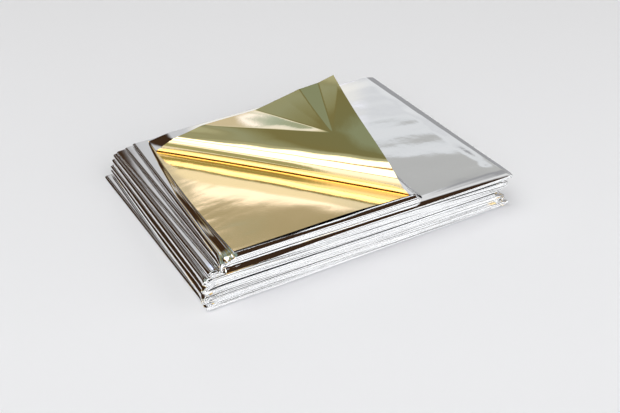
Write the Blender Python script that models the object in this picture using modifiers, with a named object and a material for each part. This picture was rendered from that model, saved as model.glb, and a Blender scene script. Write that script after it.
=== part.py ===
"""Emergency foil blanket, out of its packet and still folded.

The film is folded lengthwise into a flat strip, and the strip goes back and forth in pages
that lie on one another, each a little apart from the next. The last two pages are short.
The topmost layer of the strip hangs on the fold along its back edge, and its near left
corner is peeled back over a diagonal, so that it stands up as a curled flap.

Metres, +Z up. +X runs along the pages to their right ends, +Y from the near long side to
the far one. The origin is under the middle of the object, on the face that it rests on.
"""

import math
from collections import namedtuple

import bmesh
import bpy
from mathutils import Vector

MM = 0.001

# Folded size of the whole blanket: full pages are 131 mm long and the strip is 107 mm wide
PAGE_LENGTH = 131 * MM
STRIP_WIDTH = 107 * MM

# Height of the stack up to the top of the last full page, at its four corners
FULL_PAGES = 11
STACK_NEAR_LEFT = 17.9 * MM
STACK_NEAR_RIGHT = 17.6 * MM
STACK_FAR_LEFT = 12.4 * MM
STACK_FAR_RIGHT = 14.8 * MM

# The short pages on top are looser, most of all along the near side
SHORT_PITCH_NEAR = 2.05 * MM
SHORT_PITCH_FAR = 1.15 * MM

# Part of the distance between two pages that is filled, the rest is the gap above a page
FILLED_SHARE = 0.72

# A gentle swell of the stack, as a share of its height
SWELL = 0.025
SWELL_LENGTH = 95 * MM

# One row for each turn of the strip, from its lower free end to its upper one, in mm.
# Odd rows are left turns, even rows are right turns. Each gives the tip of the turn at the
# near and at the far side, and where the near and the far edge of the strip lie there.
Turn = namedtuple("Turn", "tip_near tip_far edge_near edge_far")
TURNS = [
    Turn(tip_near=131.0, tip_far=130.0, edge_near=2.0, edge_far=103.5),
    Turn(tip_near=-6.8, tip_far=-15.5, edge_near=1.5, edge_far=104.0),
    Turn(tip_near=132.5, tip_far=131.0, edge_near=1.0, edge_far=105.0),
    Turn(tip_near=-6.4, tip_far=-12.0, edge_near=3.6, edge_far=106.5),
    Turn(tip_near=128.8, tip_far=128.5, edge_near=3.0, edge_far=106.5),
    Turn(tip_near=-5.3, tip_far=-10.4, edge_near=5.0, edge_far=108.0),
    Turn(tip_near=131.6, tip_far=130.4, edge_near=2.0, edge_far=107.5),
    Turn(tip_near=-3.2, tip_far=-8.6, edge_near=4.6, edge_far=109.0),
    Turn(tip_near=128.9, tip_far=129.6, edge_near=2.6, edge_far=107.5),
    Turn(tip_near=-0.8, tip_far=-5.4, edge_near=2.4, edge_far=108.0),
    Turn(tip_near=131.0, tip_far=130.4, edge_near=0.0, edge_far=107.0),
    Turn(tip_near=0.6, tip_far=0.0, edge_near=0.6, edge_far=106.0),
    Turn(tip_near=85.4, tip_far=90.0, edge_near=2.6, edge_far=100.5),
    Turn(tip_near=6.2, tip_far=6.2, edge_near=3.8, edge_far=100.5),
]

# Pages are counted from 0, and the layer that is peeled lies on the last of them
LAST_PAGE = len(TURNS) - 2
TOP_LAYER = LAST_PAGE + 1

# The diagonal over which the top layer is peeled, from its left edge to its near edge
PEEL_LEFT = Vector((6.2, 93.8)) * MM
PEEL_NEAR = Vector((83.4, 3.8)) * MM

# The flap first turns over in a tight roll. From there it curves up again towards its tip,
# more so at the left end of the diagonal than at the near one.
ROLL_RADIUS = 3.5 * MM
ROLL_SWEEP = math.radians(168)
FLAP_RISE_LEFT = math.radians(25)
FLAP_RISE_NEAR = math.radians(14)
ROLL_STEPS = 9
FLAP_STEPS = 7

# Steps of the mesh along a page, across the strip and round a turn
PAGE_STEPS = 5
STRIP_STEPS = 6
TURN_STEPS = 6

FILM_COLOUR = (0.72, 0.73, 0.74, 1.0)
FILM_ROUGHNESS = 0.2


def mix(start, end, share):
    return start + (end - start) * share


def stack_height(x, y):
    """Height of the full pages over a place on the table."""
    along = min(max(x / PAGE_LENGTH, 0.0), 1.0)
    across = min(max(y / STRIP_WIDTH, 0.0), 1.0)
    near = mix(STACK_NEAR_LEFT, STACK_NEAR_RIGHT, along)
    far = mix(STACK_FAR_LEFT, STACK_FAR_RIGHT, along)
    swell = 1 + SWELL * math.sin(x / SWELL_LENGTH * math.tau) * math.sin(across * math.pi)
    return mix(near, far, across) * swell


def page_pitch(page, x, y):
    """Height that a page takes up together with the gap above it."""
    if FULL_PAGES <= page < TOP_LAYER:
        return mix(SHORT_PITCH_NEAR, SHORT_PITCH_FAR, y / STRIP_WIDTH)
    return stack_height(x, y) / FULL_PAGES


def page_thickness(page, x, y):
    return page_pitch(page, x, y) * FILLED_SHARE


def page_level(page, x, y):
    """Height of the middle of a page, where page 0 lies on the table."""
    full = min(page, FULL_PAGES) * page_pitch(0, x, y)
    short = (page - min(page, FULL_PAGES)) * page_pitch(FULL_PAGES, x, y)
    return full + short + page_thickness(page, x, y) / 2


def turn_place(index, share):
    """Tip and strip edge of a turn, at a share of the way across the strip."""
    turn = TURNS[index]
    tip = mix(turn.tip_near, turn.tip_far, share) * MM
    edge = mix(turn.edge_near, turn.edge_far, share) * MM
    return tip, edge


def turn_radius(index, tip, edge):
    """Half the distance between the two pages that a turn joins, or zero at a free end."""
    if index in (0, len(TURNS) - 1):
        return 0.0
    return (page_level(index, tip, edge) - page_level(index - 1, tip, edge)) / 2


def page_points(page, share):
    """Points along one page, from the turn below it to the turn above it."""
    ends = []
    for index in (page, page + 1):
        tip, edge = turn_place(index, share)
        inward = -1 if index % 2 == 0 else 1
        ends.append((tip + inward * turn_radius(index, tip, edge), edge))
    points = []
    for step in range(PAGE_STEPS + 1):
        x = mix(ends[0][0], ends[1][0], step / PAGE_STEPS)
        y = mix(ends[0][1], ends[1][1], step / PAGE_STEPS)
        points.append((Vector((x, y, page_level(page, x, y))), page_thickness(page, x, y)))
    return points


def turn_points(index, low, high):
    """Points round a turn, from the end of the page below it to the start of the one above."""
    outward = 1 if index % 2 == 0 else -1
    radius = (high[0].z - low[0].z) / 2
    middle = (low[0] + high[0]) / 2
    points = []
    for step in range(1, TURN_STEPS):
        share = step / TURN_STEPS
        angle = math.pi * (share - 0.5)
        reach = Vector((outward * radius * math.cos(angle), 0, radius * math.sin(angle)))
        points.append((middle + reach, mix(low[1], high[1], share)))
    return points


def strip_line(share):
    """The strip's whole way back and forth, at a share of the way across it."""
    line = page_points(0, share)
    for page in range(1, TOP_LAYER):
        above = page_points(page, share)
        line += turn_points(page, line[-1], above[0])
        line += above
    return line


def add_vertex(mesh, place, thickness):
    vertex = mesh.verts.new(place)
    vertex[mesh.verts.layers.float["thickness"]] = thickness
    return vertex


def add_band(mesh, near, far):
    """Adds the faces between two rows of vertices."""
    band = []
    for column in range(len(near) - 1):
        corners = (near[column], near[column + 1], far[column + 1], far[column])
        band.append(mesh.faces.new(corners))
    return band


def add_strip(mesh):
    """Adds the strip's surface and returns the vertices along the far edge of its last page."""
    rows = []
    for step in range(STRIP_STEPS + 1):
        line = strip_line(step / STRIP_STEPS)
        rows.append([add_vertex(mesh, place, thickness) for place, thickness in line])
    for near, far in zip(rows, rows[1:]):
        add_band(mesh, near, far)
    return rows[-1][-(PAGE_STEPS + 1):]


def add_far_fold(mesh, lower_edge):
    """Adds the lengthwise fold over the far edge of the last page and returns its upper edge."""
    layer = mesh.verts.layers.float["thickness"]
    row = lower_edge
    for step in range(1, TURN_STEPS + 1):
        share = step / TURN_STEPS
        angle = math.pi * (share - 0.5)
        above = []
        for vertex in lower_edge:
            x, y, level = vertex.co
            radius = (page_level(TOP_LAYER, x, y) - level) / 2
            reach = Vector((0, radius * math.cos(angle), radius * (1 + math.sin(angle))))
            thickness = mix(vertex[layer], page_thickness(TOP_LAYER, x, y), share)
            above.append(add_vertex(mesh, vertex.co + reach, thickness))
        add_band(mesh, row, above)
        row = above
    return row


def peel_axes():
    """Unit vectors along the diagonal and away from it, towards the far right."""
    along = (PEEL_NEAR - PEEL_LEFT).normalized()
    away = Vector((-along.y, along.x))
    return along, away


def loose_corner():
    """The top layer's near left corner, as it lies before it is peeled."""
    return Vector(turn_place(len(TURNS) - 1, 0))


def flap_length():
    """Length of film from the end of the roll to the loose corner."""
    corner = loose_corner() - PEEL_LEFT
    return -corner.dot(peel_axes()[1]) - ROLL_RADIUS * ROLL_SWEEP


def peeled(x, y):
    """Where a place of the top layer goes when its near left corner is peeled back."""
    along, away = peel_axes()
    offset = Vector((x, y)) - PEEL_LEFT
    past = -offset.dot(away)
    if past <= 0:
        return Vector((x, y, page_level(TOP_LAYER, x, y)))
    reach = offset.dot(along)
    base = PEEL_LEFT + along * reach
    turned = min(past / ROLL_RADIUS, ROLL_SWEEP)
    back = -ROLL_RADIUS * math.sin(turned)
    rise = ROLL_RADIUS * (1 - math.cos(turned))
    rest = past - ROLL_RADIUS * ROLL_SWEEP
    if rest > 0:
        share = reach / (PEEL_NEAR - PEEL_LEFT).length
        flap_radius = flap_length() / mix(FLAP_RISE_LEFT, FLAP_RISE_NEAR, share)
        turned = ROLL_SWEEP - rest / flap_radius
        back += flap_radius * (math.sin(turned) - math.sin(ROLL_SWEEP))
        rise += flap_radius * (math.cos(turned) - math.cos(ROLL_SWEEP))
    place = base + away * back
    return Vector((place.x, place.y, page_level(TOP_LAYER, base.x, base.y) + rise))


def peel_cuts():
    """Distances past the start of the roll at which the top layer bends."""
    roll = ROLL_RADIUS * ROLL_SWEEP
    cuts = [roll * step / ROLL_STEPS for step in range(ROLL_STEPS + 1)]
    cuts += [roll + flap_length() * step / FLAP_STEPS for step in range(1, FLAP_STEPS)]
    return cuts


def add_top_layer(mesh, far_edge):
    """Adds the top layer, first flat and cut along the lines where it bends, and peels it."""
    near_edge = []
    for place, _ in page_points(LAST_PAGE, 0):
        thickness = page_thickness(TOP_LAYER, place.x, place.y)
        near_edge.append(add_vertex(mesh, (place.x, loose_corner().y, 0), thickness))
    levels = {vertex: vertex.co.z for vertex in far_edge}
    for vertex in far_edge:
        vertex.co.z = 0
    strip_faces = set(mesh.faces)
    layer = add_band(mesh, near_edge, sorted(far_edge, key=lambda vertex: -vertex.co.x))
    away = peel_axes()[1]
    for cut in peel_cuts():
        edges = {edge for face in layer for edge in face.edges}
        points = {vertex for face in layer for vertex in face.verts}
        bmesh.ops.bisect_plane(
            mesh,
            geom=[*points, *edges, *layer],
            dist=0.001 * MM,
            plane_co=(PEEL_LEFT - away * cut).to_3d(),
            plane_no=away.to_3d(),
        )
        layer = [face for face in mesh.faces if face not in strip_faces]
    for vertex in {vertex for face in layer for vertex in face.verts}:
        if vertex in levels:
            vertex.co.z = levels[vertex]
        else:
            vertex.co = peeled(vertex.co.x, vertex.co.y)


def folded_film():
    """The blanket's one surface, open all round."""
    mesh = bmesh.new()
    mesh.verts.layers.float.new("thickness")
    lower_edge = add_strip(mesh)
    upper_edge = add_far_fold(mesh, lower_edge)
    add_top_layer(mesh, upper_edge)
    bmesh.ops.recalc_face_normals(mesh, faces=mesh.faces)
    surface = bpy.data.meshes.new("folded_film")
    mesh.to_mesh(surface)
    mesh.free()
    return surface


def film_material():
    material = bpy.data.materials.new("silver_film")
    material.use_nodes = True
    shader = material.node_tree.nodes["Principled BSDF"]
    shader.inputs["Base Color"].default_value = FILM_COLOUR
    shader.inputs["Metallic"].default_value = 1.0
    shader.inputs["Roughness"].default_value = FILM_ROUGHNESS
    return material


def thicken(blanket):
    """Gives the surface the thickness of a folded strip, thinner where the stack is lower."""
    thickness = [value.value for value in blanket.data.attributes["thickness"].data]
    group = blanket.vertex_groups.new(name="thickness")
    for index, value in enumerate(thickness):
        group.add([index], value / max(thickness), "REPLACE")
    solidify = blanket.modifiers.new("film thickness", "SOLIDIFY")
    solidify.thickness = max(thickness)
    solidify.offset = 0
    solidify.vertex_group = group.name


def centre_on_table(blanket):
    """Moves the blanket so that the origin is under the middle of it."""
    bpy.context.view_layer.update()
    graph = bpy.context.evaluated_depsgraph_get()
    corners = [Vector(corner) for corner in blanket.evaluated_get(graph).bound_box]
    low = Vector(min(corner[axis] for corner in corners) for axis in range(3))
    high = Vector(max(corner[axis] for corner in corners) for axis in range(3))
    blanket.location = (-(low.x + high.x) / 2, -(low.y + high.y) / 2, -low.z)


def main():
    for old in list(bpy.data.objects):
        bpy.data.objects.remove(old)
    collection = bpy.data.collections.new("emergency_foil_blanket")
    bpy.context.scene.collection.children.link(collection)
    blanket = bpy.data.objects.new("foil_blanket", folded_film())
    collection.objects.link(blanket)
    blanket.data.materials.append(film_material())
    thicken(blanket)
    centre_on_table(blanket)


main()
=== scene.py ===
import math
from collections import namedtuple

import bpy
import numpy as np
from mathutils import Matrix, Vector


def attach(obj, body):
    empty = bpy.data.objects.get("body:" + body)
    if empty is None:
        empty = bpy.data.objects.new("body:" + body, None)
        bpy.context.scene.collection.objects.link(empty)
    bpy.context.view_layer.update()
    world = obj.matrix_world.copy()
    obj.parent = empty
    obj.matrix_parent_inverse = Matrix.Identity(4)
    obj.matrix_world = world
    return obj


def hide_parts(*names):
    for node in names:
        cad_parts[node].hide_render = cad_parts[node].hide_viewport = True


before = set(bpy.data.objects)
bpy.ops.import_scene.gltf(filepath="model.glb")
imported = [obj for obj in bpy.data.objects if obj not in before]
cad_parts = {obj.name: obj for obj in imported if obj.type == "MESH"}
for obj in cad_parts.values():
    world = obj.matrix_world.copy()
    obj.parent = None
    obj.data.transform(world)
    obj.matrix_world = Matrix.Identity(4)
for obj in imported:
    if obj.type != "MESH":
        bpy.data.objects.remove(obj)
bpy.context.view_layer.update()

MM = 0.001

# The layout is in millimetres from the near left corner of the top page. This is where the
# row frame's origin lies in it.
ORIGIN_X = 58.99
ORIGIN_Y = 54.52

PAGE_LENGTH = 131.0
STRIP_WIDTH = 107.0

# The sheet is folded in half, gold inside, and then back and forth into the strip. These are
# its film layers in a page, counted from the bottom, in their order across the sheet. Each
# two that follow one another are joined by a fold, by turns at the far and the near edge.
FILM_LAYERS = 14
SHEET_ORDER = [13, 10, 9, 6, 5, 2, 1, 0, 3, 4, 7, 8, 11, 12]

# The camera of the photo, in the layout: place, heading from +Y towards +X, and dip
CAMERA_PLACE = (-66.7, -189.5, 192.0)
CAMERA_HEADING = math.radians(28.19)
CAMERA_DIP = math.radians(36.26)
CAMERA_LENS = 43.5

# One row for each turn of the strip, from the free end under the stack to the upper one.
# Even rows lie at the right, odd rows at the left. The first four columns are the tip of the
# turn and the edge of the strip there, at the near and the far side. The last four are the
# height of the surface below the page that starts at the turn, at the stack's corners.
Turn = namedtuple(
    "Turn",
    "tip_near tip_far edge_near edge_far left_near left_far right_near right_far",
)
TURNS = [
    Turn(131.0, 130.0, 2.0, 103.5, 0.0, 0.0, 0.0, 0.0),
    Turn(-6.8, -15.5, 1.5, 104.0, 1.3, 1.0, 1.1, 1.0),
    Turn(132.5, 131.0, 1.0, 105.0, 2.6, 1.9, 2.3, 2.0),
    Turn(-6.9, -12.2, 2.9, 104.8, 4.6, 3.0, 3.5, 3.0),
    Turn(131.3, 130.4, 2.6, 105.6, 6.4, 4.2, 4.7, 4.0),
    Turn(-6.6, -11.8, 3.8, 105.5, 8.4, 5.2, 5.9, 5.0),
    Turn(128.6, 128.7, 4.6, 106.0, 10.1, 6.3, 7.0, 6.0),
    Turn(-6.2, -10.8, 4.4, 105.8, 11.5, 7.6, 8.2, 7.0),
    Turn(130.2, 129.6, 3.2, 106.8, 12.8, 8.9, 9.4, 8.0),
    Turn(-3.9, -9.8, 4.9, 106.0, 13.9, 10.0, 10.6, 9.0),
    Turn(131.4, 130.2, 1.8, 107.4, 14.7, 11.0, 11.9, 10.0),
    Turn(-0.4, -7.9, 3.2, 106.0, 15.4, 11.5, 13.1, 11.0),
    Turn(129.4, 129.8, 2.4, 107.6, 16.0, 11.9, 14.3, 12.0),
    Turn(0.2, -3.9, 2.4, 105.6, 16.6, 12.2, 15.3, 13.1),
    Turn(131.8, 130.6, 0.2, 108.4, 17.2, 12.5, 16.4, 14.0),
    Turn(0.6, -0.2, 1.6, 105.6, 18.2, 12.9, 17.6, 14.9),
    Turn(85.4, 90.0, 3.0, 101.0, 20.2, 13.6, 19.6, 16.0),
    Turn(6.2, 6.2, 3.8, 100.5, 22.2, 14.7, 21.6, 17.2),
]
TOP_PAGE = len(TURNS) - 2

# The pages droop at their left ends, by this factor of the squared distance from this place
LEFT_DROOP = 0.0042
DROOP_START_LEFT = 4.5

# The right ends slope down beyond a crease
RIGHT_CREASE_NEAR = 129.6
RIGHT_CREASE_FAR = 126.0
RIGHT_SLOPE_NEAR = 0.14
RIGHT_SLOPE_FAR = 0.28

# The lowest page's near side stands a little off the floor
FLOOR_GAP = 0.45

# The near side sinks in a plain slope and a curve, each from a distance from the near edge
Bend = namedtuple("Bend", "slope_start slope curve_start_left curve_start_right curve")
LOWER_BEND = Bend(4.6, 0.08, 3.4, 1.5, 0.12)
UPPER_BEND = Bend(6.0, 0.06, 5.5, 5.0, 0.07)

# How far a turn bulges sideways for its height
TURN_BULGE = 1.5

# The strip's free end: how far its lowest layer reaches past the gold one, and how far the
# gold one bulges out in the middle
STAIRS_NEAR = 4.4
STAIRS_FAR = 0.4
GOLD_BULGE = 2.0

# The diagonal over which the top layer is peeled, from its left edge to its near edge
PEEL_LEFT = np.array([6.2, 90.6])
PEEL_NEAR = np.array([80.7, 3.8])

# How far the peeled film has turned over, in degrees, at a distance past the diagonal in mm,
# at the diagonal's left and near end. 180 is flat again, the other side up.
Turned = namedtuple("Turned", "past left near")
FLAP_PROFILE = [
    Turned(0.0, 0, 0),
    Turned(0.5, 60, 60),
    Turned(4.9, 118, 116),
    Turned(9.1, 154, 147),
    Turned(16.6, 166, 163),
    Turned(25.6, 167, 168),
    Turned(34.6, 161, 166),
    Turned(58.6, 143, 155),
]
FLAP_STEP = 0.5

# The point in the flap from which its creases fan out, in the flat film, and the lift of the
# film between them, per mm from that point, by the direction in degrees
FAN_POINT = (38.2, 16.8)
Crease = namedtuple("Crease", "direction lift")
FAN = [
    Crease(112, 0.0),
    Crease(123, 0.013),
    Crease(143, -0.034),
    Crease(160, -0.002),
    Crease(174, 0.020),
    Crease(190, -0.024),
    Crease(206, 0.0),
]


def smooth(value, low, high):
    share = np.clip((value - low) / (high - low), 0.0, 1.0)
    return share * share * (3 - 2 * share)


def mix(start, end, share):
    return start + (end - start) * share


class Waves:
    """A smooth uneven function of two coordinates, between about -1 and 1."""

    def __init__(self, seed, length, stretch=1.0, terms=9):
        draw = np.random.default_rng(seed)
        turn = draw.uniform(0, math.tau, terms)
        size = math.tau / (length * draw.uniform(0.6, 1.8, terms))
        self.along = size * np.cos(turn) / stretch
        self.across = size * np.sin(turn)
        self.phase = draw.uniform(0, math.tau, terms)

    def __call__(self, x, y):
        total = 0.0
        for along, across, phase in zip(self.along, self.across, self.phase):
            total = total + np.sin(along * x + across * y + phase)
        return total / math.sqrt(len(self.phase) * 2)


def near_droop(index, x, y):
    """How far the surface below a page has sunk towards the stack's near side."""
    bend = UPPER_BEND if index > TOP_PAGE - 1 else LOWER_BEND
    along = np.clip(x / PAGE_LENGTH, 0.0, 1.0)
    curve_start = mix(bend.curve_start_left, bend.curve_start_right, along)
    slope = bend.slope * np.maximum(bend.slope_start - y, 0)
    return slope + bend.curve * np.maximum(curve_start - y, 0) ** 2


def level(index, x, y, near=True):
    """Height of the surface between two pages, with or without its droop at the near side."""
    turn = TURNS[index]
    height = flat_level(turn, x, y)
    across = np.clip(y / STRIP_WIDTH, 0.0, 1.0)
    droop = LEFT_DROOP * np.maximum(DROOP_START_LEFT - x, 0) ** 2
    crease = mix(RIGHT_CREASE_NEAR, RIGHT_CREASE_FAR, across)
    slope = mix(RIGHT_SLOPE_NEAR, RIGHT_SLOPE_FAR, across)
    along = np.clip(x / PAGE_LENGTH, 0.0, 1.0)
    droop = droop + slope * np.maximum(x - crease, 0)
    droop = droop - slope * (PAGE_LENGTH - crease) * along
    if near:
        droop = droop + near_droop(index, x, y)
    if index <= TOP_PAGE:
        # the table gives the height at the edge
        droop = droop - near_droop(index, x, turn.edge_near) * (1 - across)
    lift = FLOOR_GAP * smooth(4.5 - y, 0, 4) * smooth(3 - index, 0, 3)
    return height - droop * smooth(height, 0, 8) + lift


def flat_level(turn, x, y):
    """Height between two pages without the droop of their ends."""
    along = np.clip(x / PAGE_LENGTH, 0.0, 1.0)
    across = np.clip(y / STRIP_WIDTH, 0.0, 1.0)
    near = mix(turn.left_near, turn.right_near, along)
    far = mix(turn.left_far, turn.right_far, along)
    return mix(near, far, across)


# ---- the stack ----

# Sizes of the three near folds of a page and of the gaps between them. The two topmost
# layers are the sheet's edges and lie close to each other.
FOLD_SIZES = [1.0, 0.5, 0.25]
FOLD_GAP = 0.05
EDGE_GAP = 0.12
FOLD_BULGE = 0.8

# How far the near side of the topmost pages lies further back, at the left and at the right
Step = namedtuple("Step", "left right")
NEAR_STEPS = {
    13: Step(-1.4, 0.6),
    14: Step(-2.0, 0.0),
    15: Step(0.3, -1.6),
    16: Step(-1.4, -1.3),
}

# The near corners are crumpled. Places along x by height, at the left and at the right, and
# the heights between which a corner is crumpled.
CRUMPLE_REACH = 3.2
Corner = namedtuple("Corner", "low_x high_x y bottom top size")
CORNERS = [
    Corner(-7.0, -6.0, 3.0, 1.0, 12.5, 0.55),
    Corner(-2.0, 3.0, 2.5, 12.5, 23.0, 0.45),
    Corner(130.0, 130.0, 2.0, 1.0, 7.0, 0.85),
    Corner(130.0, 130.0, 1.0, 13.0, 17.0, 0.45),
]

PAGE_COLUMNS = 26
TURN_COLUMNS = 9
LAYER_ROWS = (0, 0.012, 0.03, 0.06, 0.2, 0.5, 0.8, 0.96, 1.0)
FOLD_ROWS = 3


def layer_shares(page, x):
    """Heights of the film layers in a page, as shares of its thickness, along x."""
    draw = np.random.default_rng(100 + page)
    folds = draw.permutation(FOLD_SIZES)
    weights = []
    for gap in range(FILM_LAYERS + 1):
        drift = Waves(1000 + page * 40 + gap, 75.0, terms=5)
        if gap % 4 == 0 or gap >= FILM_LAYERS:
            size = FOLD_GAP
        elif gap > 12:
            size = EDGE_GAP
        else:
            size = draw.uniform(0.3, 1.0) * folds[gap // 4]
        weights.append(size * (1.0 + 0.75 * np.clip(drift(x, 0 * x), -1, 1)))
    total = np.cumsum(weights, axis=0)
    return total[:-1] / total[-1]


def place_in_page(page, layer):
    """Number of a film layer counted from the bottom of a page."""
    return layer if (TOP_PAGE - page) % 2 == 0 else FILM_LAYERS - 1 - layer


def turn_line(index, share):
    turn = TURNS[index]
    return mix(turn.tip_near, turn.tip_far, share)


def edge_line(index, far):
    turn = TURNS[index]
    return turn.edge_far if far else turn.edge_near


def page_x(page, share, layer):
    """Where a layer starts and ends along x on a page, at a share across it."""
    ends = []
    for index in (page, page + 1):
        side = 1 if index % 2 == 0 else -1
        tip = turn_line(index, share)
        if 0 < index <= TOP_PAGE:
            tall = level(index + 1, tip, share * STRIP_WIDTH)
            tall = tall - level(index - 1, tip, share * STRIP_WIDTH)
            tip = tip - side * TURN_BULGE * tall / 2
        ends.append(tip)
    if page == TOP_PAGE and layer < FILM_LAYERS - 1:
        # The cut ends lie like stairs, and the gold one bulges out in the middle
        under = 1 - layer / (FILM_LAYERS - 2)
        ends[1] -= GOLD_BULGE * math.sin(share * math.pi)
        ends[1] -= under * mix(STAIRS_NEAR, STAIRS_FAR, share)
    return ends


def layer_edges(layer, page, along):
    """Near and far edge of a film layer along a page, where it folds or is cut."""
    edges = []
    for far in (False, True):
        base = mix(edge_line(page, far), edge_line(page + 1, far), along)
        # the four layers that a fold holds share its place
        fold = (layer + 2) // 4 if far else layer // 4
        drift = Waves(3000 + page * 60 + fold * 2 + int(far), 70.0, terms=5)
        depth = 0.9 * (0.5 + 0.5 * np.clip(drift(along * PAGE_LENGTH, 0 * along), -1, 1))
        if not far:
            place = place_in_page(page, layer)
            slant = Waves(4000 + page, 60.0, terms=4)(along * PAGE_LENGTH, 0 * along)
            depth = 0.5 * depth + 0.5 * slant * place / FILM_LAYERS
            step = NEAR_STEPS.get(page)
            if step is not None:
                from_left = 1 - along if page % 2 == 0 else along
                depth = 0.5 * depth + mix(step.left, step.right, from_left)
        if page == TOP_PAGE and layer >= FILM_LAYERS - 2:
            depth = 0 * along
        edges.append(base - depth if far else base + depth)
    return edges


def page_grid(layer, page, shares):
    """Points of a film layer on one page: columns along it, rows across it."""
    along = 0.5 - 0.5 * np.cos(np.linspace(0, math.pi, PAGE_COLUMNS))
    near, far = layer_edges(layer, page, along)
    place = place_in_page(page, layer)
    grid = np.empty((PAGE_COLUMNS, len(shares), 3))
    for row, share in enumerate(shares):
        start, end = page_x(page, share, layer)
        x = mix(start, end, along)
        y = mix(near, far, share)
        low, high = level(page, x, y), level(page + 1, x, y)
        if page == TOP_PAGE:
            foot = page_x(page, share, 0)[1]
            top = page_x(page, share, FILM_LAYERS - 2)[1]
            high = low + (high - low) * np.clip((x - foot) / (top - foot), 0.05, 1)
        grid[:, row, 0] = x
        grid[:, row, 1] = y
        grid[:, row, 2] = mix(low, high, layer_shares(page, x)[place])
    if page == TOP_PAGE and layer == FILM_LAYERS - 1:
        grid[:, -1, 2] = top_height(grid[:, -1, 0], grid[:, -1, 1])
    return grid


def turn_grid(index, before, after, ridges):
    """Points round a turn between the last column of one page and the first of the next."""
    side = 1 if index % 2 == 0 else -1
    x = (before[:, 0] + after[:, 0]) / 2
    y = (before[:, 1] + after[:, 1]) / 2
    centre = level(index, x, y)
    columns = []
    for step in range(1, TURN_COLUMNS + 1):
        share = step / (TURN_COLUMNS + 1)
        angle = math.pi * (share - 0.5)
        radius = mix(centre - before[:, 2], after[:, 2] - centre, share)
        radius = radius * (1 + 0.10 * ridges(share * 40, y) * math.cos(angle))
        column = np.empty_like(before)
        column[:, 0] = x + side * TURN_BULGE * radius * math.cos(angle)
        column[:, 1] = mix(before[:, 1], after[:, 1], share)
        column[:, 2] = centre + radius * math.sin(angle)
        columns.append(column)
    return np.stack(columns)


def layer_grid(layer):
    """Points of one lengthwise film layer through all pages and turns."""
    pages = [page_grid(layer, page, LAYER_ROWS) for page in range(TOP_PAGE + 1)]
    parts = [pages[0]]
    for index in range(1, TOP_PAGE + 1):
        ridges = Waves(500 + index, 9.0, terms=8)
        parts.append(turn_grid(index, pages[index - 1][-1], pages[index][0], ridges))
        parts.append(pages[index])
    return np.concatenate(parts)


def page_columns(page):
    """First and last column of a page in the whole sheet."""
    start = page * (PAGE_COLUMNS + TURN_COLUMNS)
    return start, start + PAGE_COLUMNS - 1


def fold_rows(low, high, far):
    """Rows round the lengthwise fold between the edges of two layers."""
    side = 1 if far else -1
    gap = np.linalg.norm(high - low, axis=1)
    rows = []
    for step in range(1, FOLD_ROWS + 1):
        angle = math.pi * step / (FOLD_ROWS + 1)
        row = mix(low, high, (1 - math.cos(angle)) / 2)
        row[:, 1] += side * (0.12 + FOLD_BULGE * gap) * math.sin(angle)
        rows.append(row)
    return rows


def mesh_of(name, grid, keep=None):
    """A mesh of quads from a grid of points in the layout, in metres and row frame."""
    points = (grid.reshape(-1, 3) - (ORIGIN_X, ORIGIN_Y, 0)) * MM
    count = grid.shape[1]
    index = np.arange(points.shape[0]).reshape(grid.shape[:2])
    quads = np.stack(
        [index[:-1, :-1], index[:-1, 1:], index[1:, 1:], index[1:, :-1]], axis=-1
    )
    if keep is not None:
        quads = quads[keep]
    mesh = bpy.data.meshes.new(name)
    mesh.from_pydata(points.tolist(), [], quads.reshape(-1, 4).tolist())
    mesh.polygons.foreach_set("use_smooth", [True] * len(mesh.polygons))
    piece = bpy.data.objects.new(name, mesh)
    bpy.context.scene.collection.objects.link(piece)
    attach(piece, "root")
    return piece


def crumpled(points):
    """Points with those near the corners moved at random."""
    x, y, z = points[..., 0], points[..., 1], points[..., 2]
    size = 0.0
    for corner in CORNERS:
        share = np.clip((z - corner.bottom) / (corner.top - corner.bottom), 0, 1)
        away = np.hypot(x - mix(corner.low_x, corner.high_x, share), y - corner.y)
        reach = np.exp(-((away / CRUMPLE_REACH) ** 2))
        reach = reach * smooth(z, corner.bottom - 1, corner.bottom + 0.5)
        reach = reach * smooth(corner.top - z, -0.5, 0.5)
        size = size + corner.size * reach
    moved = points.copy()
    for axis in range(3):
        one = Waves(900 + axis, 2.6)(x + 1.7 * z, y - 1.3 * z)
        moved[..., axis] += size * one * (0.6 if axis == 2 else 1.0)
    return moved


# The films made apart, with finer meshes: their pages and layers
FINE_FILMS = [
    (TOP_PAGE, FILM_LAYERS - 1),
    (TOP_PAGE, FILM_LAYERS - 2),
    (TOP_PAGE - 2, FILM_LAYERS - 1),
]


def make_stack():
    """The whole sheet but for the films that are made apart."""
    rows = []
    owner = []
    previous = None
    for number, layer in enumerate(SHEET_ORDER):
        grid = layer_grid(layer)
        if number % 2 == 1:
            grid = grid[:, ::-1]
        if previous is not None:
            far = number % 2 == 1
            for row in fold_rows(previous[:, -1], grid[:, 0], far):
                rows.append(row)
                owner.append(-1)
        for row in range(grid.shape[1]):
            rows.append(grid[:, row])
            owner.append(layer)
        previous = grid
    sheet = crumpled(np.stack(rows, axis=1))
    owner = np.array(owner)
    keep = np.ones((sheet.shape[0] - 1, sheet.shape[1] - 1), bool)
    for page, layer in FINE_FILMS:
        start, end = page_columns(page)
        keep[start:end, (owner[:-1] == layer) & (owner[1:] == layer)] = False
    return mesh_of("foil_blanket_folded", sheet, keep)


# ---- the two films on top ----

GOLD_COLUMNS, GOLD_ROWS = 190, 190
FLAP_COLUMNS, FLAP_ROWS = 210, 230
SILVER_COLUMNS, SILVER_ROWS = 260, 120

# The gold film rises in a low ridge in front of the roll: height, distance and the width of
# its near and its far side
GOLD_RIDGE = 0.7
RIDGE_PLACE = 19.0
RIDGE_NEAR = 24.0
RIDGE_FAR = 10.0

# Rise of the topmost film near its far left corner
CORNER_RISE = 1.5


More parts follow.
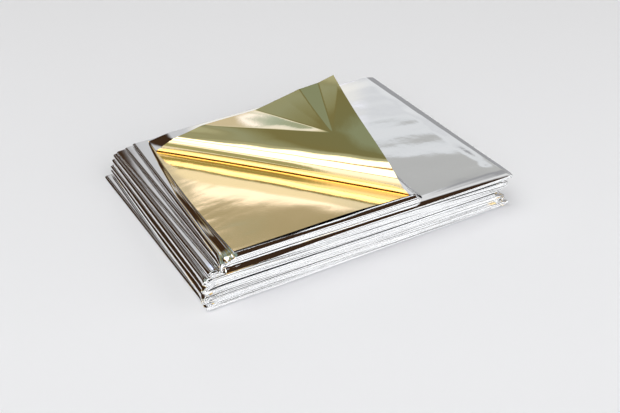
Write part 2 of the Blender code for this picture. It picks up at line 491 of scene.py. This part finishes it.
def film_height(page, layer, x, y, near=True):
    low, high = level(page, x, y, near), level(page + 1, x, y, near)
    return mix(low, high, layer_shares(page, x)[place_in_page(page, layer)])


def peel_axes():
    along = (PEEL_NEAR - PEEL_LEFT) / np.linalg.norm(PEEL_NEAR - PEEL_LEFT)
    return along, np.array([-along[1], along[0]])


def past_peel(x, y):
    """Distance beyond the diagonal of the peeled film, away from its loose corner."""
    along, away = peel_axes()
    return (x - PEEL_LEFT[0]) * away[0] + (y - PEEL_LEFT[1]) * away[1]


def before_turn(x, y):
    """Share of a film's lift on the last page, which fades towards its turn."""
    end = page_x(TOP_PAGE, np.clip(y / STRIP_WIDTH, 0, 1), FILM_LAYERS - 1)[0]
    return smooth(end - x, 0, 6)


def top_height(x, y):
    """Height of the topmost film where it still lies flat."""
    flat = film_height(TOP_PAGE, FILM_LAYERS - 1, x, y, near=False)
    rise = CORNER_RISE * smooth(x, 3, 18) * smooth(y, 70, 96) * smooth(past_peel(x, y), 0, 10)
    return flat + (rise + 0.35) * before_turn(x, y)


def fine_page(columns, rows, page, layer):
    """Even places over a page, between its ends and its two edges."""
    along = np.linspace(0, 1, columns)
    across = np.linspace(0, 1, rows)
    x = np.empty((columns, rows))
    y = np.empty((columns, rows))
    near, far = layer_edges(layer, page, along)
    for row, share in enumerate(across):
        start, end = page_x(page, share, layer)
        x[:, row] = mix(start, end, along)
        y[:, row] = mix(near, far, share)
    return x, y


def make_gold():
    """The sheet's other long edge, gold side up, on the last page."""
    x, y = fine_page(GOLD_COLUMNS, GOLD_ROWS, TOP_PAGE, FILM_LAYERS - 2)
    z = film_height(TOP_PAGE, FILM_LAYERS - 2, x, y, near=False)
    soft = Waves(71, 34.0)(x, y) * 0.03 + Waves(72, 9.0)(x, y) * 0.008
    ripples = np.abs(Waves(73, 12.0, stretch=2.5)(x, y)) * np.exp(-(x - 4) / 9) * 0.03
    before = -past_peel(x, y)
    width = np.where(before > RIDGE_PLACE, RIDGE_NEAR, RIDGE_FAR)
    ridge = GOLD_RIDGE * np.exp(-(((before - RIDGE_PLACE) / width) ** 2))
    lift = (0.16 + soft + ripples + ridge) * smooth(STRIP_WIDTH - y, 2, 12)
    lift = lift * before_turn(x, y)
    return mesh_of("foil_blanket_gold_layer", np.stack([x, y, z + lift], axis=-1))


def make_silver_top():
    """The film on top of the last full page, seen to the right of the short ones."""
    x, y = fine_page(SILVER_COLUMNS, SILVER_ROWS, TOP_PAGE - 2, FILM_LAYERS - 1)
    z = film_height(TOP_PAGE - 2, FILM_LAYERS - 1, x, y)
    inside = smooth(x, 84, 92) * smooth(130 - x, 1, 8) * smooth(y, 2, 10)
    inside = inside * smooth(STRIP_WIDTH - y, 2, 10)
    soft = Waves(75, 30.0)(x, y) * 0.045 + Waves(76, 8.0, stretch=2.0)(x, y) * 0.005
    z = z + (soft + 0.12) * inside
    return mesh_of("foil_blanket_silver_top", crumpled(np.stack([x, y, z], axis=-1)))


def turned_at(past, share):
    """Angle that the film has turned over, past the diagonal and at a share along it."""
    table = np.array(FLAP_PROFILE, float)
    left = np.interp(past, table[:, 0], table[:, 1])
    near = np.interp(past, table[:, 0], table[:, 2])
    return np.radians(mix(left, near, share))


def fan_lift(x, y):
    """Lift of the flap between the creases that fan out from one point."""
    dx, dy = x - FAN_POINT[0], y - FAN_POINT[1]
    far = np.sqrt(dx * dx + dy * dy)
    direction = np.degrees(np.arctan2(dy, dx)) % 360
    table = np.array(FAN, float)
    return (far - 1.5 * smooth(far, 0, 3)) * np.interp(direction, table[:, 0], table[:, 1])


def peeled(x, y):
    """Places of the top film, peeled back over the diagonal."""
    along, away = peel_axes()
    past = np.maximum(-past_peel(x, y), 0.0)
    reach = (x - PEEL_LEFT[0]) * along[0] + (y - PEEL_LEFT[1]) * along[1]
    share = reach / np.linalg.norm(PEEL_NEAR - PEEL_LEFT)
    back, rise = 0.0 * x, 0.0 * x
    for step in np.arange(0, past.max(), FLAP_STEP):
        part = np.clip(past - step, 0, FLAP_STEP)
        angle = turned_at(step + FLAP_STEP / 2, share)
        back = back - part * np.cos(angle)
        rise = rise + part * np.sin(angle)
    base_x = x + away[0] * past
    base_y = y + away[1] * past
    angle = turned_at(past, share)
    lift = fan_lift(x, y) * smooth(past, 11, 18)
    lift = lift + Waves(81, 26.0)(x, y) * 0.05 * smooth(past, 7, 12)
    back = back - np.sin(angle) * lift
    rise = rise - np.cos(angle) * lift
    z = top_height(base_x, base_y) + rise
    return np.stack([base_x + away[0] * back, base_y + away[1] * back, z], axis=-1)


def make_flap():
    x, y = fine_page(FLAP_COLUMNS, FLAP_ROWS, TOP_PAGE, FILM_LAYERS - 1)
    return mesh_of("foil_blanket_flap", peeled(x, y))


# ---- materials ----

SILVER = (0.90, 0.905, 0.91, 1.0)
GOLD = (0.96, 0.78, 0.45, 1.0)
FILM_ROUGHNESS = 0.035
GOLD_ROUGHNESS = 0.08


def film_material(name, front, back, roughness=FILM_ROUGHNESS):
    """A metallised film with one colour on each side."""
    material = bpy.data.materials.new(name)
    material.use_nodes = True
    nodes, links = material.node_tree.nodes, material.node_tree.links
    shader = nodes["Principled BSDF"]
    shader.inputs["Metallic"].default_value = 1.0
    geometry = nodes.new("ShaderNodeNewGeometry")
    sides = nodes.new("ShaderNodeMix")
    sides.data_type = "RGBA"
    sides.inputs["A"].default_value = front
    sides.inputs["B"].default_value = back
    links.new(geometry.outputs["Backfacing"], sides.inputs["Factor"])
    links.new(sides.outputs["Result"], shader.inputs["Base Color"])
    place = nodes.new("ShaderNodeTexCoord")
    cloud = nodes.new("ShaderNodeTexNoise")
    cloud.inputs["Scale"].default_value = 60.0
    cloud.inputs["Detail"].default_value = 5.0
    links.new(place.outputs["Object"], cloud.inputs["Vector"])
    rough = nodes.new("ShaderNodeMapRange")
    rough.inputs["To Min"].default_value = roughness * 0.6
    rough.inputs["To Max"].default_value = roughness * 1.5
    links.new(cloud.outputs["Fac"], rough.inputs["Value"])
    links.new(rough.outputs["Result"], shader.inputs["Roughness"])
    bump = nodes.new("ShaderNodeBump")
    bump.inputs["Strength"].default_value = 0.12
    bump.inputs["Distance"].default_value = 0.0004
    links.new(cloud.outputs["Fac"], bump.inputs["Height"])
    links.new(bump.outputs["Normal"], shader.inputs["Normal"])
    return material


# Painted shade: the floor's colour is a little darker further away, standing in for the light
# falling off there
FLOOR_NEAR = (0.93, 0.935, 0.95, 1.0)
FLOOR_FAR_SHADED = (0.78, 0.78, 0.785, 1.0)
FLOOR_SHADE_FADE = (-0.10, 0.35)


def floor_material():
    material = bpy.data.materials.new("pale_floor")
    material.use_nodes = True
    nodes, links = material.node_tree.nodes, material.node_tree.links
    shader = nodes["Principled BSDF"]
    shader.inputs["Roughness"].default_value = 0.9
    place = nodes.new("ShaderNodeTexCoord")
    depth = nodes.new("ShaderNodeVectorMath")
    depth.operation = "DOT_PRODUCT"
    depth.inputs[1].default_value = (math.sin(CAMERA_HEADING), math.cos(CAMERA_HEADING), 0)
    links.new(place.outputs["Object"], depth.inputs[0])
    share = nodes.new("ShaderNodeMapRange")
    share.inputs["From Min"].default_value = FLOOR_SHADE_FADE[0]
    share.inputs["From Max"].default_value = FLOOR_SHADE_FADE[1]
    links.new(depth.outputs["Value"], share.inputs["Value"])
    # painted shade: the floor colour fades from the lit near colour to the shaded far one
    colour = nodes.new("ShaderNodeMix")
    colour.data_type = "RGBA"
    colour.inputs["A"].default_value = FLOOR_NEAR
    colour.inputs["B"].default_value = FLOOR_FAR_SHADED
    links.new(share.outputs["Result"], colour.inputs["Factor"])
    links.new(colour.outputs["Result"], shader.inputs["Base Color"])
    return material


# ---- the room ----

# Light in the vertical plane through the camera, by the angle from the far horizon over the
# zenith to the horizon behind the camera, in degrees
Band = namedtuple("Band", "place red green blue")
BANDS = [
    Band(0, 0.80, 0.80, 0.81),
    Band(24, 0.82, 0.83, 0.84),
    Band(26, 0.80, 0.81, 0.82),
    Band(27.5, 0.70, 0.71, 0.73),
    Band(28.5, 0.78, 0.79, 0.80),
    Band(29.5, 0.76, 0.78, 0.80),
    Band(29.8, 0.51, 0.51, 0.50),
    Band(34.5, 0.49, 0.49, 0.48),
    Band(36, 0.49, 0.49, 0.48),
    Band(38, 0.62, 0.741, 0.902),
    Band(39.5, 0.95, 1.045, 1.394),
    Band(41, 0.75, 0.807, 0.902),
    Band(44, 0.45, 0.494, 0.426),
    Band(49, 0.24, 0.314, 0.271),
    Band(58, 0.19, 0.209, 0.131),
    Band(66, 0.195, 0.204, 0.127),
    Band(70, 0.24, 0.266, 0.197),
    Band(73, 0.40, 0.456, 0.41),
    Band(76, 0.42, 0.494, 0.451),
    Band(79, 2.50, 2.50, 2.50),
    Band(86, 2.50, 2.50, 2.50),
    Band(88, 0.45, 0.304, 0.164),
    Band(89.5, 0.45, 0.304, 0.164),
    Band(91.5, 2.50, 2.50, 2.50),
    Band(127, 2.50, 2.50, 2.50),
    Band(128.5, 0.30, 0.38, 0.295),
    Band(131, 0.30, 0.38, 0.295),
    Band(132.5, 1.50, 1.472, 1.558),
    Band(160, 1.20, 1.235, 1.394),
    Band(168, 1.10, 1.045, 0.984),
    Band(180, 1.00, 0.95, 0.82),
]
# Light behind the camera at the right, by height from the horizon to the zenith
WINDOW = [
    Band(0.00, 1.40, 1.40, 1.41),
    Band(0.12, 1.80, 1.80, 1.81),
    Band(0.17, 0.90, 0.90, 0.91),
    Band(0.20, 1.60, 1.60, 1.61),
    Band(0.33, 1.80, 1.80, 1.81),
    Band(0.37, 0.50, 0.50, 0.51),
    Band(0.40, 1.70, 1.70, 1.71),
    Band(0.54, 1.80, 1.80, 1.81),
    Band(0.58, 0.70, 0.70, 0.71),
    Band(0.61, 1.70, 1.70, 1.71),
    Band(1.00, 1.70, 1.70, 1.71),
]
# Light ahead at the left, by how far to the left it comes from
LEFT_ROOM = [
    Band(0.00, 0.62, 0.62, 0.63),
    Band(0.28, 0.62, 0.62, 0.63),
    Band(0.32, 0.05, 0.027, 0.014),
    Band(0.42, 0.05, 0.027, 0.014),
    Band(0.44, 0.60, 0.60, 0.60),
    Band(0.46, 0.05, 0.027, 0.014),
    Band(0.55, 0.05, 0.027, 0.014),
    Band(0.58, 0.90, 0.90, 0.90),
    Band(0.61, 0.05, 0.027, 0.014),
    Band(1.00, 0.04, 0.020, 0.010),
]
# Light that the peeled film shows between its creases, by how far to the left it comes from
FLAP_ROOM = [
    Band(0.00, 0.24, 0.314, 0.287),
    Band(0.11, 0.24, 0.314, 0.287),
    Band(0.14, 0.185, 0.209, 0.139),
    Band(0.26, 0.195, 0.204, 0.123),
    Band(0.30, 0.25, 0.285, 0.213),
    Band(0.36, 0.30, 0.361, 0.328),
    Band(0.44, 0.33, 0.38, 0.328),
]
# The same for the bright facet between two of its creases
FACET_ROOM = [
    Band(0.10, 0.34, 0.427, 0.41),
    Band(0.15, 0.40, 0.532, 0.615),
    Band(0.165, 0.45, 0.589, 0.697),
    Band(0.178, 0.62, 0.741, 0.943),
    Band(0.19, 1.20, 1.282, 1.804),
    Band(0.215, 0.95, 1.045, 1.476),
    Band(0.235, 0.56, 0.684, 0.861),
    Band(0.26, 0.40, 0.475, 0.492),
]
DARK_COLOUR = (0.045, 0.024, 0.013, 1.0)
BACK_COLOUR = (1.5, 1.45, 1.65, 1.0)
SKY_COLOUR = (0.97, 0.94, 0.87, 1.0)
HIGH_COLOUR = (2.5, 2.5, 2.5, 1.0)
DIM_COLOUR = (0.41, 0.39, 0.33, 1.0)
FOOT_COLOUR = (0.38, 0.41, 0.27, 1.0)
PALE_COLOUR = (0.80, 0.80, 0.80, 1.0)
GREY_COLOUR = (0.36, 0.36, 0.37, 1.0)
# The grey at the right begins at this value of the part to the right plus the slant by angle
GREY_SLANT = -1.432
GREY_EDGE = -0.482
LEFT_COLOUR = (0.62, 0.62, 0.63, 1.0)


def make_world():
    world = bpy.data.worlds.new("studio")
    bpy.context.scene.world = world
    world.use_nodes = True
    nodes, links = world.node_tree.nodes, world.node_tree.links
    background = nodes["Background"]
    place = nodes.new("ShaderNodeTexCoord")

    def part_along(direction):
        node = nodes.new("ShaderNodeVectorMath")
        node.operation = "DOT_PRODUCT"
        node.inputs[1].default_value = direction
        links.new(place.outputs["Generated"], node.inputs[0])
        return node.outputs["Value"]

    ahead = part_along((math.sin(CAMERA_HEADING), math.cos(CAMERA_HEADING), 0))
    right = part_along((math.cos(CAMERA_HEADING), -math.sin(CAMERA_HEADING), 0))
    height = part_along((0, 0, 1))
    angle = nodes.new("ShaderNodeMath")
    angle.operation = "ARCTAN2"
    links.new(height, angle.inputs[0])
    links.new(ahead, angle.inputs[1])
    share = nodes.new("ShaderNodeMath")
    share.operation = "DIVIDE"
    share.inputs[1].default_value = math.pi
    links.new(angle.outputs["Value"], share.inputs[0])

    def sum_of(value, factor, other=None):
        node = nodes.new("ShaderNodeMath")
        node.operation = "MULTIPLY_ADD"
        node.inputs[1].default_value = factor
        node.inputs[2].default_value = 0.0
        links.new(value, node.inputs[0])
        if other is not None:
            links.new(other, node.inputs[2])
        return node.outputs["Value"]

    def ramp_of(value, bands, whole):
        ramp = nodes.new("ShaderNodeValToRGB")
        links.new(value, ramp.inputs["Fac"])
        stops = ramp.color_ramp.elements
        while len(stops) > 1:
            stops.remove(stops[-1])
        for number, band in enumerate(bands):
            stop = stops[0] if number == 0 else stops.new(band.place / whole)
            stop.position = band.place / whole
            stop.color = (band.red, band.green, band.blue, 1)
        return ramp.outputs["Color"]

    def step_between(value, low, high):
        node = nodes.new("ShaderNodeMapRange")
        node.interpolation_type = "SMOOTHSTEP"
        node.inputs["From Min"].default_value = low
        node.inputs["From Max"].default_value = high
        links.new(value, node.inputs["Value"])
        return node.outputs["Result"]

    def over(below, colour, *shares):
        share = shares[0]
        for other in shares[1:]:
            node = nodes.new("ShaderNodeMath")
            node.operation = "MULTIPLY"
            links.new(share, node.inputs[0])
            links.new(other, node.inputs[1])
            share = node.outputs["Value"]
        node = nodes.new("ShaderNodeMix")
        node.data_type = "RGBA"
        links.new(share, node.inputs["Factor"])
        links.new(below, node.inputs["A"])
        if isinstance(colour, tuple):
            node.inputs["B"].default_value = colour
        else:
            links.new(colour, node.inputs["B"])
        return node.outputs["Result"]

    front = step_between(ahead, 0.2, 0.4)
    behind = step_between(ahead, 0.35, 0.05)
    low = step_between(height, 0.66, 0.60)
    turned = angle.outputs["Value"]
    left_half = step_between(right, 0.06, -0.01)
    leftward = sum_of(right, -1.0)
    light = ramp_of(share.outputs["Value"], BANDS, 180)
    light = over(
        light, ramp_of(leftward, FLAP_ROOM, 1),
        step_between(right, 0.02, -0.01),
        step_between(turned, math.radians(45), math.radians(50)),
        step_between(turned, math.radians(73), math.radians(69)),
    )
    light = over(
        light, DIM_COLOUR, left_half,
        step_between(turned, math.radians(30.7), math.radians(31.2)),
        step_between(turned, math.radians(38), math.radians(35)),
    )
    light = over(
        light, SKY_COLOUR, left_half,
        step_between(turned, math.radians(8), math.radians(14)),
        step_between(turned, math.radians(28.0), math.radians(27.5)),
    )
    light = over(
        light, BACK_COLOUR, left_half,
        step_between(turned, math.radians(27.3), math.radians(28.5)),
        step_between(turned, math.radians(31.2), math.radians(30.7)),
    )
    light = over(
        light, ramp_of(leftward, FACET_ROOM, 1),
        step_between(right, -0.10, -0.112),
        step_between(turned, math.radians(34.2), math.radians(34.8)),
        step_between(turned, math.radians(38.5), math.radians(38.0)),
    )
    light = over(
        light, FOOT_COLOUR, behind,
        step_between(right, -0.62, -0.65),
        step_between(height, 0.5, 0.4),
    )
    light = over(
        light, PALE_COLOUR,
        step_between(right, 0.06, 0.14),
        step_between(turned, math.radians(35), math.radians(38)),
        step_between(turned, math.radians(75), math.radians(70)),
    )
    light = over(
        light, HIGH_COLOUR,
        step_between(right, -0.24, -0.17),
        step_between(turned, math.radians(76.5), math.radians(77.5)),
        step_between(turned, math.radians(86), math.radians(85)),
    )
    light = over(light, LEFT_COLOUR, front, low, step_between(right, -0.19, -0.215))
    tilted = sum_of(turned, GREY_SLANT, right)
    grey_edge = step_between(tilted, GREY_EDGE, GREY_EDGE + 0.015)
    light = over(light, GREY_COLOUR, front, low, grey_edge)
    light = over(
        light, GREY_COLOUR, front, low,
        step_between(right, 0.17, 0.21),
        step_between(turned, math.radians(33.5), math.radians(36)),
    )
    light = over(
        light, ramp_of(leftward, LEFT_ROOM, 1),
        step_between(ahead, -0.45, -0.15),
        step_between(right, -0.27, -0.34),
        step_between(height, 0.75, 0.62),
    )
    light = over(
        light, DARK_COLOUR,
        step_between(right, 0.0, 0.05),
        step_between(height, 0.72, 0.78),
    )
    light = over(
        light, ramp_of(height, WINDOW, 1), behind,
        step_between(right, 0.40, 0.60),
        step_between(height, 0.74, 0.68),
    )
    links.new(light, background.inputs["Color"])
    background.inputs["Strength"].default_value = 1.0


FLOOR_SIZE = 8.0


def make_floor():
    bpy.ops.mesh.primitive_plane_add(size=FLOOR_SIZE, location=(0, 0, 0))
    floor = bpy.context.object
    floor.name = "floor"
    floor.data.materials.append(floor_material())
    return floor


def make_camera():
    data = bpy.data.cameras.new("camera")
    data.lens = CAMERA_LENS
    data.sensor_width = 36.0
    data.clip_start = 0.01
    camera = bpy.data.objects.new("camera", data)
    bpy.context.scene.collection.objects.link(camera)
    x, y, z = CAMERA_PLACE
    camera.location = ((x - ORIGIN_X) * MM, (y - ORIGIN_Y) * MM, z * MM)
    camera.rotation_euler = (math.pi / 2 - CAMERA_DIP, 0, -CAMERA_HEADING)
    bpy.context.scene.camera = camera


def main():
    make_camera()
    make_world()
    make_floor()
    stack = make_stack()
    gold = make_gold()
    flap = make_flap()
    silver_top = make_silver_top()
    material = film_material("film", SILVER, GOLD)
    turned = film_material("film_gold_up", GOLD, SILVER, GOLD_ROUGHNESS)
    for piece in (stack, flap, silver_top):
        piece.data.materials.append(material)
    gold.data.materials.append(turned)
    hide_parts("foil_blanket")
    bpy.context.scene.view_settings.view_transform = "Standard"


main()
